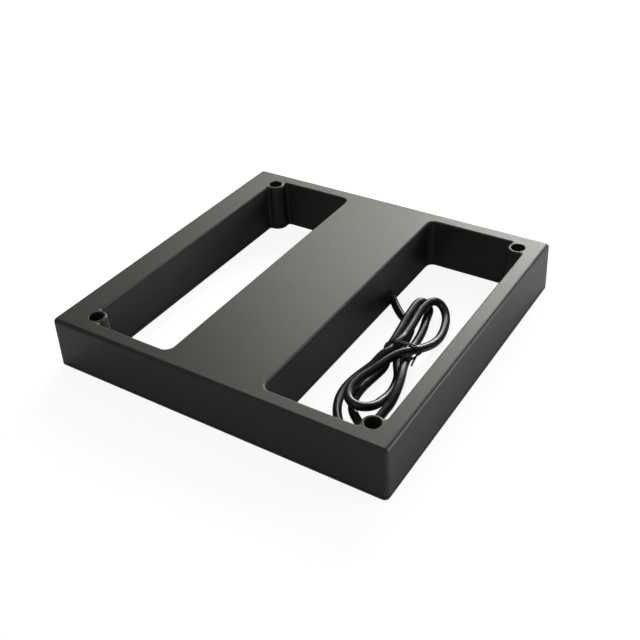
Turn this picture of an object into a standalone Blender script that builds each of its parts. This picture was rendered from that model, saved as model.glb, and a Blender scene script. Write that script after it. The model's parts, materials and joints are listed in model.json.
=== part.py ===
"""Long-range proximity reader for a gate or barrier.

A flat square plastic housing with two through windows, wire coils around its
rim, a circuit board in its central bridge, and a tied cable lying in one window.

The origin is the centre of the base: X along the front edge, Y to the back, Z up.
Sizes are in millimetres and turn into metres where a mesh is made.
"""

import math

import bmesh
import bpy
import numpy as np
from mathutils import Matrix

MM = 0.001
GAP = 0.3

# Housing
BASE_X = 230.0
BASE_Y = 222.0
HEIGHT = 34.0
DRAFT = 0.8
CORNER_RADIUS = 3.0
TOP_RADIUS = 2.5
RIM_RADIUS = 1.2
WALL = 2.2
ROOF = 2.5

# Windows and the four mounting columns in their outer corners
WINDOW_HALF_Y = 100.0
LEFT_WINDOW = (-95.0, -32.0)
RIGHT_WINDOW = (103.0, 32.5)
BRIDGE_CORNER = 5.5
MOUNT_X = (-92.0, 98.0)
MOUNT_Y = 95.0
BOSS_RADIUS = 6.5
BOSS_FILLET = 1.8
MOUNT_BORE = 2.5
MOUNT_COUNTERBORE = 4.5
COUNTERBORE_FLOOR = 16.0

# Base cover and its seals
COVER = 2.2
SHELL_BASE = COVER + GAP
SEAL_NEAR = 1.1
SEAL_FAR = 1.9
SEAL_LOW = 1.5
SEAL_HIGH = 2.35
GROOVE_FLOOR = 1.2
LOCATING_TAB = (20.0, 1.2, 6.0)
TAB_Y = 102.6

# Screws
SHANK = 1.15
PILOT = SHANK + GAP
HEAD = 2.6
HEAD_RISE = 1.45
COVER_SCREWS = [(-24.0, -92.0), (24.0, -92.0), (-24.0, 92.0), (24.0, 92.0), (-99.2, -50.0), (-99.2, 50.0)]
PILLAR_RADIUS = 3.1
SCREW_LENGTH = 9.5

# Circuit board
BOARD_X = (-27.0, 27.4)
BOARD_Y = (-84.0, 32.0)
BOARD_THICKNESS = 1.6
STANDOFF_TOP = 8.2
STANDOFF_RADIUS = 3.0
BOARD_BASE = STANDOFF_TOP + GAP
BOARD_TOP = BOARD_BASE + BOARD_THICKNESS
SEAT = BOARD_TOP + GAP
SCREW_INSET = 4.5

# Coils
COIL_HALF_X = 109.6
COIL_HALF_Y = 105.4
COIL_CORNER = 12.0
COIL_WIDTH = 2.6
RECEIVE_Z = (4.0, 15.0)
TRANSMIT_Z = (17.5, 29.5)
CLIP_LENGTH = 14.0
CLIP_LIP = 0.7
CLIP_Z = (12.0, 20.5)

# Cable
CABLE_RADIUS = 2.7
STRAND_GAP = 0.6
OUTLET_Y = 42.4
OUTLET_Z = 5.4
PIVOT = (34.9, OUTLET_Y, OUTLET_Z)
CABLE_INSIDE_X = 20.0
CLAMP_X = 26.0
CLAMP_POST = 4.2
CLAMP_TOP = OUTLET_Z + CABLE_RADIUS + GAP + 1.6
CLAMP_SCREW_Y = 6.5
NOTCH_RADIUS = 4.2
GROMMET_GROOVE = NOTCH_RADIUS - GAP
GROMMET_FLANGE = 4.8
GROMMET_LIP = 1.1
CORE_ORDER = (-0.5, 1.5, 0.5, -1.5)
PLUG_PLACE = (4.0, 24.5, SEAT + 1.2 + GAP)
PLUG_HEIGHT = 7.0
PLUG_TOP = PLUG_PLACE[2] + PLUG_HEIGHT
TIE_Y = -5.5
TIE_RADIUS = 0.65
TIE_PITCH = 1.8
TIE_TURNS = 2
TIE_STEPS = 40
TIE_LIFT = 1.6
TIE_START = -0.35

# Where the loose cable runs, from the outlet to its free end. The strands lie side by
# side in two layers, and all of them pass through the tie.
CABLE_ROUTE = [
    # in from the outlet, under the bundle and down its middle
    (37.3, 40.3, 4.6), (42.5, 35.4, 3.4), (49.0, 30.0, 3.1), (55.0, 26.5, 3.1), (59.6, 21.0, 3.1),
    (61.8, 12.5, 3.1), (63.4, 3.0, 3.6), (65.0, -5.0, 4.2), (67.8, -12.0, 3.6), (71.5, -18.0, 3.1),
    (75.0, -25.0, 3.1), (77.5, -34.5, 3.1),
    # inner lower loop, raised on its way back
    (78.5, -43.5, 3.8), (77.5, -53.5, 5.6), (74.5, -61.0, 7.8), (69.0, -64.0, 9.2), (63.0, -61.5, 9.8),
    (59.5, -53.5, 10.1), (60.0, -44.0, 10.4), (62.5, -36.5, 10.8), (65.0, -29.5, 11.6), (67.5, -21.5, 12.4),
    (71.0, -14.0, 12.6),
    # on top of the tie, then the wide upper loop
    (75.5, -6.0, 10.8), (78.0, 3.0, 7.4), (79.5, 12.5, 4.6), (79.5, 22.5, 3.3), (77.0, 34.0, 3.1),
    (73.0, 43.5, 3.6), (68.2, 48.6, 6.2), (63.8, 48.0, 9.2), (61.2, 42.0, 10.4), (60.4, 34.0, 10.2),
    (61.0, 22.5, 9.4), (62.5, 11.0, 9.2), (63.8, 0.0, 9.4), (62.8, -8.0, 9.2), (60.5, -17.0, 7.4),
    (57.0, -27.0, 5.2), (54.0, -35.0, 3.6), (52.6, -46.0, 3.1),
    # outer lower loop, close to the floor
    (54.5, -58.0, 3.1), (60.0, -69.0, 3.1), (67.5, -77.0, 3.1), (76.5, -77.0, 3.1), (81.5, -68.0, 3.1),
    (83.0, -56.5, 4.2), (82.6, -45.5, 6.0), (81.2, -35.5, 7.6), (78.6, -27.0, 8.2), (75.2, -18.0, 7.6),
    (72.4, -9.5, 5.2), (70.2, -1.0, 4.2), (69.2, 8.0, 3.3), (68.0, 17.5, 3.1), (66.0, 26.5, 3.1),
    (63.8, 33.5, 3.1), (62.2, 40.5, 3.1),
    # narrow upper loop, then the free end
    (60.9, 44.8, 4.0), (58.1, 46.4, 6.2), (55.2, 44.8, 8.4), (54.1, 40.5, 9.2), (54.5, 34.0, 9.2),
    (55.6, 26.0, 9.0), (57.2, 17.0, 8.4), (58.2, 6.0, 7.6), (58.6, -4.0, 6.2), (60.5, -12.5, 4.0),
    (63.0, -21.0, 3.1), (62.5, -31.0, 3.1), (61.5, -40.0, 3.1), (61.5, -48.5, 3.1), (63.0, -56.5, 3.1),
    (67.0, -63.5, 3.1), (73.5, -69.0, 3.1),
]
ROUTE_STEP = 3.4
SETTLE_ROUNDS = 160
EASE = 0.12
HOME_PULL = 0.2


def clear_scene():
    for item in list(bpy.data.objects):
        bpy.data.objects.remove(item, do_unlink=True)


# ---------------------------------------------------------------- mesh tools

def mesh_from(faces, points):
    mesh = bpy.data.meshes.new("mesh")
    mesh.from_pydata([tuple(c * MM for c in p) for p in points], [], faces)
    mesh.update()
    return mesh


def add_object(name, mesh, material=None, location=(0, 0, 0), turn=0.0):
    item = bpy.data.objects.new(name, mesh)
    item.location = [c * MM for c in location]
    item.rotation_euler = (0, 0, math.radians(turn))
    bpy.context.scene.collection.objects.link(item)
    if material:
        mesh.materials.clear()
        mesh.materials.append(material)
    return item


def smooth(mesh, angle=35):
    mesh.shade_smooth()
    mesh.set_sharp_from_angle(angle=math.radians(angle))
    return mesh


def loft(rings):
    """A closed solid through rings with equal point counts, capped at both ends."""
    count = len(rings[0])
    points = [p for ring in rings for p in ring]
    faces = [tuple(reversed(range(count)))]
    for level in range(len(rings) - 1):
        low = level * count
        for i in range(count):
            j = (i + 1) % count
            faces.append((low + i, low + j, low + count + j, low + count + i))
    top = (len(rings) - 1) * count
    faces.append(tuple(top + i for i in range(count)))
    return mesh_from(faces, points)


def ring_solid(inner, outer, low, high):
    """A closed band between two outlines, from one height to another."""
    count = len(inner)
    rings = [
        [(x, y, low) for x, y in outer],
        [(x, y, high) for x, y in outer],
        [(x, y, high) for x, y in inner],
        [(x, y, low) for x, y in inner],
    ]
    points = [p for ring in rings for p in ring]
    faces = []
    for level in range(4):
        a = level * count
        b = (level + 1) % 4 * count
        for i in range(count):
            j = (i + 1) % count
            faces.append((a + i, a + j, b + j, b + i))
    return mesh_from(faces, points)


def turned(profile, segments=12):
    """A solid of revolution about Z from (radius, height) points, bottom to top."""
    rings = []
    for radius, height in profile:
        steps = (2 * math.pi * i / segments for i in range(segments))
        rings.append([(radius * math.cos(a), radius * math.sin(a), height) for a in steps])
    return loft(rings)


def block(size, low=0.0, bevel=0.0):
    """A box on z = low, centred in X and Y, with its upright and top edges eased."""
    half_x = size[0] / 2
    half_y = size[1] / 2
    top = low + size[2]
    if not bevel:
        rings = [rectangle(half_x, half_y, z) for z in (low, top)]
        return loft(rings)
    rings = [
        chamfered(half_x, half_y, bevel, low),
        chamfered(half_x, half_y, bevel, top - bevel),
        chamfered(half_x - bevel, half_y - bevel, bevel / 2, top),
    ]
    return loft(rings)


def rectangle(half_x, half_y, z):
    return [(-half_x, -half_y, z), (half_x, -half_y, z), (half_x, half_y, z), (-half_x, half_y, z)]


def chamfered(half_x, half_y, cut, z):
    x = half_x - cut
    y = half_y - cut
    return [
        (-x, -half_y, z), (x, -half_y, z), (half_x, -y, z), (half_x, y, z),
        (x, half_y, z), (-x, half_y, z), (-half_x, y, z), (-half_x, -y, z),
    ]


def arc(centre, radius, start, end, steps):
    """Points on an arc, with start and end in radians and the end included."""
    angles = (start + (end - start) * i / steps for i in range(steps + 1))
    return [(centre[0] + radius * math.cos(a), centre[1] + radius * math.sin(a)) for a in angles]


def rounded_rectangle(half_x, half_y, radius, steps=4):
    points = []
    corners = [(1, -1, -90), (1, 1, 0), (-1, 1, 90), (-1, -1, 180)]
    for sx, sy, start in corners:
        centre = (sx * (half_x - radius), sy * (half_y - radius))
        points += arc(centre, radius, math.radians(start), math.radians(start + 90), steps)
    return points


def sweep(path, radius, sides):
    """A round tube along a path, with its frame carried along without twist."""
    path = np.asarray(path, float)
    tangents = np.gradient(path, axis=0)
    tangents /= np.linalg.norm(tangents, axis=1)[:, None]
    side = np.cross(tangents[0], (0.0, 0.0, 1.0))
    if np.linalg.norm(side) < 0.1:
        side = np.cross(tangents[0], (0.0, 1.0, 0.0))
    rings = []
    for point, tangent in zip(path, tangents):
        side = side - np.dot(side, tangent) * tangent
        side /= np.linalg.norm(side)
        up = np.cross(side, tangent)
        angles = (2 * math.pi * k / sides for k in range(sides))
        rings.append([tuple(point + radius * (math.cos(a) * side - math.sin(a) * up)) for a in angles])
    return loft(rings)


def join(meshes):
    """Several separate bodies in one mesh, for a cutter."""
    made = bmesh.new()
    for mesh in meshes:
        made.from_mesh(mesh)
        bpy.data.meshes.remove(mesh)
    mesh = bpy.data.meshes.new("mesh")
    made.to_mesh(mesh)
    made.free()
    return mesh


def moved(mesh, x, y, z=0.0):
    mesh.transform(Matrix.Translation((x * MM, y * MM, z * MM)))
    return mesh


def carve(item, steps):
    """Run Boolean steps of (operation, cutter mesh) on an object and keep the result."""
    cutters = []
    for operation, mesh in steps:
        cutter = add_object("cutter", mesh)
        cutter.display_type = "WIRE"
        cutter.hide_render = True
        cutters.append(cutter)
        modifier = item.modifiers.new(operation, "BOOLEAN")
        modifier.operation = operation
        modifier.object = cutter
        modifier.solver = "EXACT"
    graph = bpy.context.evaluated_depsgraph_get()
    result = bpy.data.meshes.new_from_object(item.evaluated_get(graph))
    item.modifiers.clear()
    item.data = result
    for cutter in cutters:
        bpy.data.objects.remove(cutter, do_unlink=True)
    return item


def carved_mesh(mesh, steps):
    item = carve(add_object("blank", mesh), steps)
    result = item.data
    bpy.data.objects.remove(item, do_unlink=True)
    return result


# ----------------------------------------------------------------- materials

def material(name, colour, roughness, metallic=0.0):
    made = bpy.data.materials.new(name)
    made.use_nodes = True
    shader = made.node_tree.nodes["Principled BSDF"]
    shader.inputs["Base Color"].default_value = (*colour, 1.0)
    shader.inputs["Roughness"].default_value = roughness
    shader.inputs["Metallic"].default_value = metallic
    made.diffuse_color = (*colour, 1.0)
    return made


def make_materials():
    return {
        "housing": material("housing_plastic", (0.045, 0.045, 0.043), 0.42),
        "cover": material("cover_plastic", (0.055, 0.055, 0.053), 0.5),
        "seal": material("seal_rubber", (0.02, 0.02, 0.02), 0.8),
        "winding": material("winding_wire", (0.45, 0.16, 0.06), 0.35, 0.8),
        "clip": material("clip_plastic", (0.75, 0.73, 0.66), 0.5),
        "board": material("board_laminate", (0.02, 0.16, 0.06), 0.45),
        "chip": material("chip_resin", (0.02, 0.02, 0.022), 0.5),
        "tin": material("tinned_metal", (0.62, 0.62, 0.6), 0.3, 1.0),
        "film": material("film_capacitor_case", (0.5, 0.05, 0.03), 0.4),
        "sleeve": material("capacitor_sleeve", (0.03, 0.04, 0.12), 0.35),
        "ferrite": material("ferrite_core", (0.05, 0.05, 0.055), 0.6),
        "connector": material("connector_plastic", (0.8, 0.79, 0.74), 0.5),
        "screw": material("screw_steel", (0.5, 0.5, 0.5), 0.3, 1.0),
        "cable": material("cable_jacket", (0.012, 0.012, 0.013), 0.28),
        "tie": material("tie_wire_coat", (0.015, 0.015, 0.015), 0.4),
        "label": material("label_film", (0.55, 0.55, 0.54), 0.45),
        "red": material("red_wire", (0.55, 0.02, 0.02), 0.4),
        "black": material("black_wire", (0.02, 0.02, 0.02), 0.4),
        "green": material("green_wire", (0.02, 0.3, 0.06), 0.4),
        "white": material("white_wire", (0.8, 0.8, 0.78), 0.4),
    }


# ------------------------------------------------------------------ outlines

def draft_at(z):
    """How far a wall has moved out from its place at the top face."""
    return DRAFT * (HEIGHT - z) / HEIGHT


def outer_outline(inset, z):
    """The housing's outer outline at a height, moved in by an inset."""
    half_x = BASE_X / 2 - DRAFT + draft_at(z) - inset
    half_y = BASE_Y / 2 - DRAFT + draft_at(z) - inset
    return rounded_rectangle(half_x, half_y, max(CORNER_RADIUS - inset, 0.5))


def boss_corner(boss_u, inset):
    """One outer corner of a window, bitten by its mounting column.

    Distances run from the window's outer edge (u) and front edge (v), from the
    side wall's fillet, around the column, to the front wall's fillet.
    """
    boss = (boss_u, WINDOW_HALF_Y - MOUNT_Y)
    radius = BOSS_RADIUS + inset
    reach = radius + BOSS_FILLET
    near = inset + BOSS_FILLET
    first = (near, boss[1] + math.sqrt(reach ** 2 - (near - boss[0]) ** 2))
    last = (boss[0] + math.sqrt(reach ** 2 - (near - boss[1]) ** 2), near)
    first_angle = math.atan2(first[1] - boss[1], first[0] - boss[0])
    last_angle = math.atan2(last[1] - boss[1], last[0] - boss[0])
    side_fillet = arc(first, BOSS_FILLET, math.pi, first_angle + math.pi, 2)
    around = arc(boss, radius, first_angle, last_angle, 9)
    front_fillet = arc(last, BOSS_FILLET, last_angle + math.pi, 1.5 * math.pi, 2)
    return side_fillet[:-1] + around + front_fillet[1:]


def window_outline(window, inset):
    """A window's outline, moved in by an inset, counter-clockwise from above."""
    edge, bridge = window
    facing = 1 if bridge > edge else -1
    width = abs(bridge - edge)
    boss_u = min(abs(x - edge) for x in MOUNT_X)
    corner = boss_corner(boss_u, inset)
    front = [(u, v - WINDOW_HALF_Y) for u, v in corner]
    radius = BRIDGE_CORNER - inset
    centre_u = width - inset - radius
    centre_v = WINDOW_HALF_Y - inset - radius
    front += arc((centre_u, -centre_v), radius, -math.pi / 2, 0, 4)
    back = [(u, -v) for u, v in reversed(front)]
    outline = [(edge + facing * u, v) for u, v in front + back]
    return outline if facing > 0 else outline[::-1]


def at_height(outline, z):
    return [(x, y, z) for x, y in outline]


def window_hole(window):
    """The void of a window: drafted walls that flare into a rounded rim at the top."""
    rings = [at_height(window_outline(window, draft_at(-1)), -1)]
    rim_base = HEIGHT - RIM_RADIUS
    rings.append(at_height(window_outline(window, draft_at(rim_base)), rim_base))
    for step in range(1, 4):
        angle = math.radians(90 * step / 3)
        inset = -RIM_RADIUS * (1 - math.cos(angle))
        z = rim_base + RIM_RADIUS * math.sin(angle)
        rings.append(at_height(window_outline(window, inset), z))
    rings.append(at_height(window_outline(window, -RIM_RADIUS), HEIGHT + 1))
    return loft(rings)


# ------------------------------------------------------------------- housing

def housing_block():
    """The housing's outside, before the windows and the hollow are taken out."""
    rings = [at_height(outer_outline(0, SHELL_BASE), SHELL_BASE)]
    round_base = HEIGHT - TOP_RADIUS
    for step in range(6):
        angle = math.radians(90 * step / 5)
        inset = TOP_RADIUS * (1 - math.cos(angle))
        z = round_base + TOP_RADIUS * math.sin(angle)
        rings.append(at_height(outer_outline(inset, z), z))
    return loft(rings)


def window_core(window):
    """A window with its walls around it, which the hollow leaves standing."""
    low = at_height(window_outline(window, draft_at(0) - WALL), -2)
    high = at_height(window_outline(window, -WALL), HEIGHT)
    return loft([low, high])


def hollow():
    """The space inside the housing, around the windows, columns and screw pillars."""
    low = at_height(outer_outline(WALL, 0), -1)
    high = at_height(outer_outline(WALL, HEIGHT), HEIGHT - ROOF)
    column = BOSS_RADIUS + DRAFT / 2
    columns = [moved(turned([(column, -2), (column, HEIGHT)], 20), x, y) for x, y in mount_places()]
    taper = [(PILLAR_RADIUS + GAP, -2), (PILLAR_RADIUS, HEIGHT)]
    pillars = [moved(turned(taper), x, y) for x, y in COVER_SCREWS]
    cores = [window_core(LEFT_WINDOW), window_core(RIGHT_WINDOW)]
    steps = [("DIFFERENCE", join(meshes)) for meshes in (columns, pillars, cores)]
    return carved_mesh(loft([low, high]), steps)


def mount_places():
    return [(x, y) for x in MOUNT_X for y in (-MOUNT_Y, MOUNT_Y)]


def mount_hole():
    """A bore with a wide counterbore for the screw head, eased at its mouth."""
    profile = [
        (MOUNT_BORE, -1), (MOUNT_BORE, COUNTERBORE_FLOOR), (MOUNT_COUNTERBORE, COUNTERBORE_FLOOR),
        (MOUNT_COUNTERBORE, HEIGHT - 0.5), (MOUNT_COUNTERBORE + 0.5, HEIGHT),
        (MOUNT_COUNTERBORE + 0.5, HEIGHT + 1),
    ]
    return turned(profile, 20)


def along_x(mesh):
    """Turn a mesh made about Z so that its axis runs along X."""
    mesh.transform(Matrix.Rotation(math.pi / 2, 4, "Y"))
    return mesh


def outlet_notch():
    """The round-topped notch in the bridge's wall that holds the cable grommet."""
    sides = arc((OUTLET_Y, OUTLET_Z), NOTCH_RADIUS, 0, math.pi, 12)
    outline = sides + [(OUTLET_Y - NOTCH_RADIUS, 0), (OUTLET_Y + NOTCH_RADIUS, 0)]
    return loft([[(x, y, z) for y, z in outline] for x in (29.0, 36.0)])


def make_upper_housing(looks):
    holes = [moved(mount_hole(), x, y) for x, y in mount_places()]
    holes += [moved(turned([(PILOT, -1), (PILOT, 16)], 12), x, y) for x, y in COVER_SCREWS]
    windows = join([window_hole(LEFT_WINDOW), window_hole(RIGHT_WINDOW)])
    steps = [
        ("DIFFERENCE", windows), ("DIFFERENCE", hollow()), ("DIFFERENCE", join(holes)),
        ("DIFFERENCE", outlet_notch()),
    ]
    item = carve(add_object("upper_housing", housing_block()), steps)
    smooth(item.data, 30)
    item.data.materials.clear()
    item.data.materials.append(looks["housing"])


# ---------------------------------------------------------------- base cover

def seal_outlines():
    """Each seal's name with its outline as a function of the distance from the edge."""
    return [
        ("gasket_outer", lambda inset: outer_outline(inset, COVER)),
        ("gasket_window_left", lambda inset: window_outline(LEFT_WINDOW, DRAFT - inset)),
        ("gasket_window_right", lambda inset: window_outline(RIGHT_WINDOW, DRAFT - inset)),
    ]


def band(outline, near, far, low, high):
    """A closed band between two distances from an edge, wherever its inside lies."""
    first = outline(near)
    second = outline(far)
    widest = max(x for x, y in first) > max(x for x, y in second)
    inner, outer = (second, first) if widest else (first, second)
    return ring_solid(inner, outer, low, high)


def board_screw_places():
    left = BOARD_X[0] + SCREW_INSET
    right = BOARD_X[1] - SCREW_INSET
    front = BOARD_Y[0] + SCREW_INSET
    back = BOARD_Y[1] - SCREW_INSET
    return [(x, y) for x in (left, right) for y in (front, back)]


def clamp_screw_places():
    return [(CLAMP_X, OUTLET_Y + side * CLAMP_SCREW_Y) for side in (-1, 1)]


def make_base_cover(looks):
    low = at_height(outer_outline(0.35, 0), 0)
    eased = at_height(outer_outline(0, 0.35), 0.35)
    high = at_height(outer_outline(0, COVER), COVER)
    standoff = [(STANDOFF_RADIUS, 1), (STANDOFF_RADIUS, STANDOFF_TOP)]
    clamp_post = [(2.4, 1), (2.4, CLAMP_POST)]
    posts = [moved(turned(standoff), x, y) for x, y in board_screw_places()]
    posts += [moved(turned(clamp_post), x, y) for x, y in clamp_screw_places()]
    for x in (-60, 60):
        posts += [moved(block(LOCATING_TAB, 1), x, side * TAB_Y) for side in (-1, 1)]
    cuts = []
    for window in (LEFT_WINDOW, RIGHT_WINDOW):
        cuts.append(loft([at_height(window_outline(window, DRAFT), z) for z in (-1, COVER + 1)]))
    cuts += [moved(turned([(MOUNT_BORE, -1), (MOUNT_BORE, COVER + 1)], 16), x, y) for x, y in mount_places()]
    sink = [(HEAD + GAP, -1), (HEAD + GAP, 0.45), (PILOT, HEAD_RISE + 0.45), (PILOT, COVER + 1)]
    cuts += [moved(turned(sink), x, y) for x, y in COVER_SCREWS]
    pilot = [(PILOT, 1.2), (PILOT, STANDOFF_TOP + 1)]
    cuts += [moved(turned(pilot, 12), x, y) for x, y in board_screw_places() + clamp_screw_places()]
    cuts.append(moved(block((46.0, 26.0, 1.5), -1.0), 0, -20))
    near, far = SEAL_NEAR - GAP, SEAL_FAR + GAP
    grooves = [band(line, near, far, GROOVE_FLOOR, COVER + 1) for _, line in seal_outlines()]
    steps = [("UNION", join(posts)), ("DIFFERENCE", join(cuts)), ("DIFFERENCE", join(grooves))]
    item = carve(add_object("base_cover", loft([low, eased, high])), steps)
    smooth(item.data, 30)
    item.data.materials.clear()
    item.data.materials.append(looks["cover"])


def make_seals(looks):
    for name, line in seal_outlines():
        mesh = band(line, SEAL_NEAR, SEAL_FAR, SEAL_LOW, SEAL_HIGH)
        add_object(name, smooth(mesh), looks["seal"])


def make_label(looks):
    add_object("blank_label", block((45.0, 25.0, 0.2), 0.05), looks["label"], (0, -20, 0))


# -------------------------------------------------------------------- screws

def cross_recess(low, high):
    """Two crossed slots that cut a driver recess between two heights."""
    long = block((2.6, 0.6, high - low), low)
    wide = block((0.6, 2.6, high - low), low)
    return [("DIFFERENCE", long), ("DIFFERENCE", wide)]


def countersunk_screw():
    """A screw that points up, with its flat head just above z = 0."""
    tip = SCREW_LENGTH + 0.25
    profile = [(HEAD, 0.25), (HEAD, 0.35), (SHANK, HEAD_RISE + 0.35), (SHANK, tip - 1), (0.4, tip)]
    return carved_mesh(turned(profile), cross_recess(-0.5, 1.15))


def pan_screw(length):
    """A screw that points down from a domed head standing on z = 0."""
    shank = [(0.4, -length), (SHANK, 1 - length), (SHANK, 0)]
    profile = shank + [(HEAD - 0.3, 0), (HEAD - 0.3, 0.8), (1.6, 1.5)]
    return carved_mesh(turned(profile), cross_recess(0.7, 2.5))


def make_screws(looks):
    cover_screw = smooth(countersunk_screw())
    for number, (x, y) in enumerate(COVER_SCREWS, 1):
        add_object(f"cover_screw_{number}", cover_screw, looks["screw"], (x, y, 0))
    board_screw = smooth(pan_screw(6.8))
    for number, (x, y) in enumerate(board_screw_places(), 1):
        add_object(f"board_screw_{number}", board_screw, looks["screw"], (x, y, SEAT))
    clamp_screw = smooth(pan_screw(8.8))
    for number, (x, y) in enumerate(clamp_screw_places(), 1):
        add_object(f"clamp_screw_{number}", clamp_screw, looks["screw"], (x, y, CLAMP_TOP + GAP))


# --------------------------------------------------------------------- coils

def coil(low, high):
    """A flat bundle of wire turns that runs just inside the housing's rim."""
    middle = (low + high) / 2
    ease = 0.7
    sections = [
        (COIL_WIDTH / 2 - ease, low), (COIL_WIDTH / 2, low + ease), (COIL_WIDTH / 2, middle),
        (COIL_WIDTH / 2, high - ease), (COIL_WIDTH / 2 - ease, high),
    ]
    section = sections + [(-offset, z) for offset, z in reversed(sections)]
    rings = []
    for offset, z in section:
        radius = COIL_CORNER + offset
        outline = rounded_rectangle(COIL_HALF_X + offset, COIL_HALF_Y + offset, radius, 6)
        rings.append(at_height(outline, z))
    count = len(rings[0])
    faces = []
    for level in range(len(rings)):
        a = level * count
        b = (level + 1) % len(rings) * count
        for i in range(count):
            j = (i + 1) % count
            faces.append((a + i, a + j, b + j, b + i))
    return mesh_from(faces, [p for ring in rings for p in ring])


def coil_clip():
    """An H-shaped plastic spacer that grips both coils, along X."""
    inner = COIL_WIDTH / 2 + GAP
    outer = inner + CLIP_LIP
    web_low = RECEIVE_Z[1] + 0.4
    web_high = TRANSMIT_Z[0] - 0.4
    low, high = CLIP_Z
    profile = [
        (-outer, low), (-inner, low), (-inner, web_low), (inner, web_low), (inner, low), (outer, low),
        (outer, high), (inner, high), (inner, web_high), (-inner, web_high), (-inner, high), (-outer, high),
    ]
    half = CLIP_LENGTH / 2
    return loft([[(x, y, z) for y, z in profile] for x in (-half, half)])


def make_coils(looks):
    add_object("receive_coil", smooth(coil(*RECEIVE_Z)), looks["winding"])
    add_object("transmit_coil", smooth(coil(*TRANSMIT_Z)), looks["winding"])
    clip = coil_clip()
    places = {
        "front": ((-62, -COIL_HALF_Y, 0), 0), "back": ((62, COIL_HALF_Y, 0), 0),
        "left": ((-COIL_HALF_X, 0, 0), 90), "right": ((COIL_HALF_X, 0, 0), 90),
    }
    for side, (place, turn) in places.items():
        add_object(f"coil_clip_{side}", clip, looks["clip"], place, turn)


def coil_lead(side, level):
    """A coil's wire end, from beside the winding to the board's front edge."""
    start_y = -COIL_HALF_Y + COIL_WIDTH / 2 + 1.2
    return [
        (side, start_y, level), (side, -99, level - 0.5), (side, -94, 0.6 * level + 0.4 * 14),
        (side, -89, 14), (side, -84, 13.2), (side, -81, SEAT + 1.0), (side, -81, SEAT + 0.2),
    ]


def make_coil_leads(looks):
    leads = {
        "transmit_lead_1": (-12, 23), "transmit_lead_2": (-8, 23),
        "receive_lead_1": (8, 11), "receive_lead_2": (12, 11),
    }
    for name, (side, level) in leads.items():
        add_object(name, smooth(sweep(spline(coil_lead(side, level), 2), 0.5, 5)), looks["winding"])


# --------------------------------------------------------------------- board

def make_board(looks):
    width = BOARD_X[1] - BOARD_X[0]
    length = BOARD_Y[1] - BOARD_Y[0]
    centre = (sum(BOARD_X) / 2, sum(BOARD_Y) / 2, 0)
    holes = []
    for x, y in board_screw_places():
        hole = turned([(PILOT, BOARD_BASE - 1), (PILOT, BOARD_TOP + 1)], 12)
        holes.append(moved(hole, x - centre[0], y - centre[1]))
    panel = block((width, length, BOARD_THICKNESS), BOARD_BASE)
    add_object("main_board", carved_mesh(panel, [("DIFFERENCE", join(holes))]), looks["board"], centre)


def chip(length, width, height, pins):
    """A flat chip body with a row of gull-wing leads along both long sides."""
    body = block((width, length, height), 0.2, 0.25)
    pitch = (length - 1.0) / pins
    leads = []
    for side in (-1, 1):
        for i in range(pins):
            y = (i - (pins - 1) / 2) * pitch
            bend = [(width / 2 - 0.4, 0.2 + height / 2), (width / 2 + 0.6, 0.16), (width / 2 + 1.6, 0.16)]
            leads.append(loft([
                [(side * reach, y + dy, z + dz) for dy, dz in lead_section(side)] for reach, z in bend
            ]))
    return carved_mesh(body, [("UNION", join(leads))])


def lead_section(side):
    half = 0.22
    thick = 0.11
    corners = [(-half, -thick), (half, -thick), (half, thick), (-half, thick)]
    return corners if side > 0 else corners[::-1]


def can(radius, height):
    """A round capacitor can with a pressed groove near its foot and an eased top."""
    profile = [
        (radius, 0), (radius, 1.2), (radius - 0.4, 1.6), (radius - 0.4, 2.0), (radius, 2.4),
        (radius, height - 0.6), (radius - 0.6, height),
    ]
    return turned(profile, 18)


def power_transistor():
    """A flat power package: a resin body on a metal tab with a fixing hole."""
    body = block((10.2, 9.0, 4.4), 0, 0.3)
    tab = moved(block((10.0, 7.4, 1.3), 0.02), 0, 7.4)
    hole = moved(turned([(1.7, -1), (1.7, 3)], 12), 0, 8.0)
    return carved_mesh(body, [("UNION", tab), ("DIFFERENCE", hole)])


def choke():
    """A drum-core choke: a waist of wire between two ferrite flanges."""
    profile = [(5.0, 0), (5.0, 1.2), (4.2, 1.2), (4.2, 6.8), (5.0, 6.8), (5.0, 8.0)]
    return turned(profile, 18)


def sounder():
    """A round sounder with a port in its top."""
    body = turned([(5.8, 0), (5.8, 6.2), (5.4, 6.6)], 20)
    port = turned([(1.0, 4.5), (1.0, 8)], 10)
    return carved_mesh(body, [("DIFFERENCE", port)])


def header():
    """An open-topped pin header shell."""
    shell = block((13.0, 6.4, 5.0))
    pocket = block((11.8, 5.2, 5.0), 1.2)
    return carved_mesh(shell, [("DIFFERENCE", pocket)])


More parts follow.
